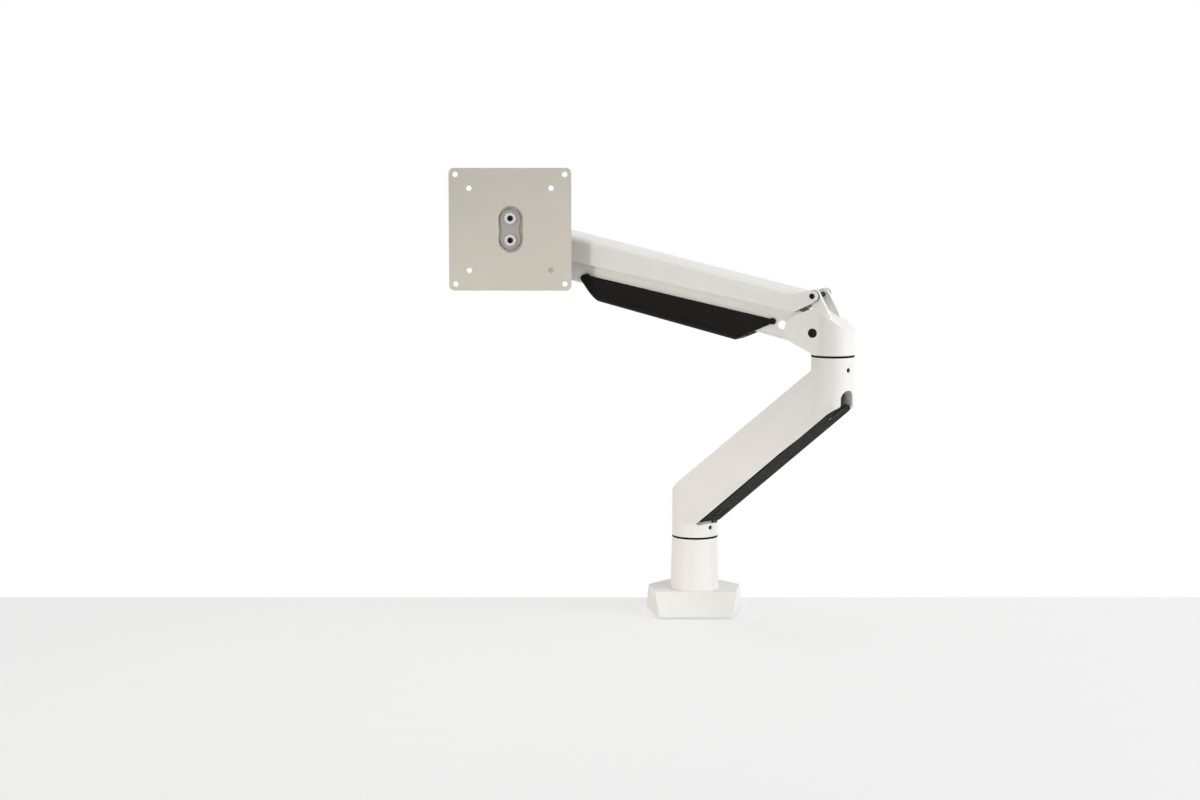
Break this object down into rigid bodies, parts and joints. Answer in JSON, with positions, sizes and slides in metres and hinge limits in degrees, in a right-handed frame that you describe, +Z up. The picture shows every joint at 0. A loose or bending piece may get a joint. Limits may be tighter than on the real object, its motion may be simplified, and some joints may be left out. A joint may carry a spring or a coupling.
{
  "type": "desk clamp monitor arm",
  "caption": "Desk-clamped monitor arm: column, swivelling lower arm, gas-sprung parallelogram upper arm, pan-tilt-roll head and square VESA plate.",
  "frame": {"origin": "on the desk top, on the vertical axis of the column", "axes": "+Z up from the desk, +X to the right and +Y towards the back edge of the desk, so the plate faces -Y"},
  "size_m": [0.3661, 0.2207, 0.5475],
  "materials": {
    "white_paint": "satin",
    "base_cover": "satin",
    "cover_plastic": "matte",
    "black_plastic": "matte",
    "black_steel": "satin",
    "bush_plastic": "satin",
    "steel": "satin",
    "zinc": "satin",
    "chrome": "polished",
    "aluminium": "satin",
    "foam": "matte"
  },
  "bodies": {
    "base": {"base_cover": "base_cover", "base_plate": "black_steel", "desk_pad": "foam", "column": "aluminium", "column_bolts": "zinc", "base_post": "steel", "lower_ring": "black_plastic", "clamp_bracket": "black_steel", "bracket_screws": "zinc"},
    "clamp_foot": {"clamp_grip": "foam", "clamp_pad": "black_steel"},
    "clamp_spindle": {"clamp_screw": "steel", "clamp_knob": "black_plastic"},
    "lower_arm_body": {"lower_arm": "aluminium", "lower_bush": "bush_plastic", "elbow_bush": "bush_plastic", "arm_set_screws": "black_steel", "elbow_ring": "black_plastic"},
    "lower_cover": {"lower_cable_cover": "cover_plastic"},
    "elbow": {"elbow_bracket": "aluminium", "elbow_post": "steel", "post_screws": "zinc", "elbow_lower_pin": "black_steel", "elbow_upper_pin": "black_steel", "elbow_washers": "black_plastic"},
    "lower_link_body": {"lower_link": "white_paint", "link_bushes": "bush_plastic", "spring_pin": "steel"},
    "keel": {"upper_cable_cover": "cover_plastic"},
    "upper_link_body": {"upper_link": "white_paint"},
    "spring_body": {"gas_cylinder": "black_steel"},
    "spring_rod": {"gas_rod": "chrome"},
    "head": {"head_bracket": "aluminium", "head_lower_pin": "black_steel", "head_upper_pin": "black_steel", "head_washers": "black_plastic", "pan_post": "steel", "pan_ring": "black_plastic", "pan_screw": "zinc"},
    "tension_spindle": {"tension_screw": "zinc"},
    "tension_block": {"tension_nut": "steel", "nut_pin": "zinc"},
    "knuckle": {"pan_knuckle": "aluminium", "pan_bush": "bush_plastic", "pan_cap": "black_plastic", "tilt_bolt": "zinc", "tilt_nut": "zinc"},
    "tilt_head": {"tilt_block": "aluminium", "tilt_washers": "black_plastic"},
    "plate": {"plate_rotor": "black_steel", "vesa_plate": "white_paint", "plate_retainer": "steel", "plate_screws": "zinc", "roll_nut": "zinc", "roll_washer": "black_plastic"}
  },
  "joints": [
    {"name": "base_swivel", "type": "hinge", "parent": "base", "child": "lower_arm_body", "pos_m": [0, 0, 0.073], "axis": [0, 0, 1], "range_deg": [-180, 180]},
    {"name": "elbow_swivel", "type": "hinge", "parent": "lower_arm_body", "child": "elbow", "pos_m": [0.1169, -0.13687, 0.2596], "axis": [0, 0, 1], "range_deg": [-180, 180]},
    {"name": "arm_lift", "type": "hinge", "parent": "elbow", "child": "lower_link_body", "pos_m": [0.10454, -0.13145, 0.2806], "axis": [0.4019, 0.9157, 0], "range_deg": [-41, 22]},
    {"name": "upper_link_swing", "type": "hinge", "parent": "elbow", "child": "upper_link_body", "pos_m": [0.10454, -0.13145, 0.3136], "axis": [0.4019, 0.9157, 0], "range_deg": [-41.5, 22.5]},
    {"name": "head_level", "type": "hinge", "parent": "lower_link_body", "child": "head", "pos_m": [-0.13635, -0.0257, 0.34134], "axis": [0.4019, 0.9157, 0], "range_deg": [-22.5, 41.5]},
    {"name": "head_pan", "type": "hinge", "parent": "head", "child": "knuckle", "pos_m": [-0.1739, -0.00922, 0.34134], "axis": [0, 0, 1], "range_deg": [-229.4, 2]},
    {"name": "head_tilt", "type": "hinge", "parent": "knuckle", "child": "tilt_head", "pos_m": [-0.1739, -0.04822, 0.37054], "axis": [-1, 0, 0], "range_deg": [-20, 70]},
    {"name": "plate_turn", "type": "hinge", "parent": "tilt_head", "child": "plate", "pos_m": [-0.1739, -0.08422, 0.37054], "axis": [0, -1, 0], "range_deg": [-90, 90]},
    {"name": "spring_swing", "type": "hinge", "parent": "lower_link_body", "child": "spring_body", "pos_m": [0.07767, -0.11965, 0.28686], "axis": [0.4019, 0.9157, 0], "range_deg": [-0.6, 0.6]},
    {"name": "spring_stroke", "type": "slide", "parent": "spring_body", "child": "spring_rod", "axis": [-0.8778, 0.3853, 0.2846], "range_m": [-0.0115, 0.0065]},
    {"name": "tension_travel", "type": "slide", "parent": "head", "child": "tension_block", "axis": [0, 0, 1], "range_m": [-0.00197, 0.00197]},
    {"name": "tension_turn", "type": "hinge", "parent": "head", "child": "tension_spindle", "pos_m": [-0.14734, -0.02088, 0.34134], "axis": [0, 0, 1], "range_deg": [-570, 570]},
    {"name": "clamp_travel", "type": "slide", "parent": "base", "child": "clamp_foot", "axis": [0, 0, 1], "range_m": [-0.035, 0.015]},
    {"name": "clamp_turn", "type": "hinge", "parent": "clamp_foot", "child": "clamp_spindle", "pos_m": [0, 0.03, -0.035], "axis": [0, 0, 1], "range_deg": [-8410, 3610]},
    {"name": "lower_cover_pull", "type": "slide", "parent": "lower_arm_body", "child": "lower_cover", "axis": [0.3782, -0.4428, -0.813], "range_m": [0, 0.012]},
    {"name": "keel_pull", "type": "slide", "parent": "lower_link_body", "child": "keel", "axis": [-0.206, 0.0904, -0.9744], "range_m": [0, 0.012]}
  ],
  "couplings": [
    {"joint": "upper_link_swing", "follows": "arm_lift", "ratio": 1},
    {"joint": "head_level", "follows": "arm_lift", "ratio": -1},
    {"joint": "spring_stroke", "follows": "arm_lift", "m_per_rad": 0.015},
    {"joint": "tension_turn", "follows": "tension_travel", "rad_per_m": -5026.5},
    {"joint": "spring_swing", "follows": "tension_travel", "rad_per_m": 3.9923},
    {"joint": "clamp_turn", "follows": "clamp_travel", "rad_per_m": 4188.8}
  ]
}
